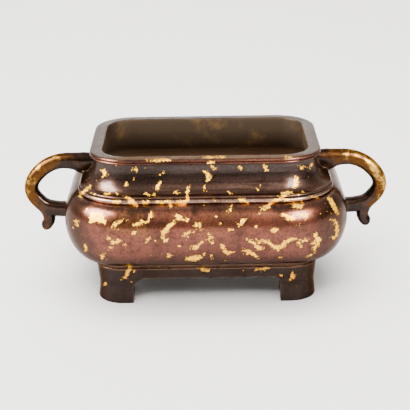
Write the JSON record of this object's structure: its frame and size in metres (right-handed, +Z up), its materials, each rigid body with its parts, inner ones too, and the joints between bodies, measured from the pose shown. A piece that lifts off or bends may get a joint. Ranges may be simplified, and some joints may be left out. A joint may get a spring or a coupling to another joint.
{
  "type": "incense burner",
  "caption": "Rectangular bellied bronze incense burner with a flat lip, looped handles with hanging tails and bracket feet, in a gold-splashed brown patina.",
  "frame": {"origin": "on the ground under the middle of the vessel, between the feet", "axes": "+X towards one handle, +Y towards the back, +Z up through the mouth"},
  "size_m": [0.1762, 0.099, 0.0717],
  "materials": {
    "bronze": "dark brown patina with gold splashes, satin"
  },
  "bodies": {
    "root": {"burner_casting": "bronze"}
  },
  "joints": []
}
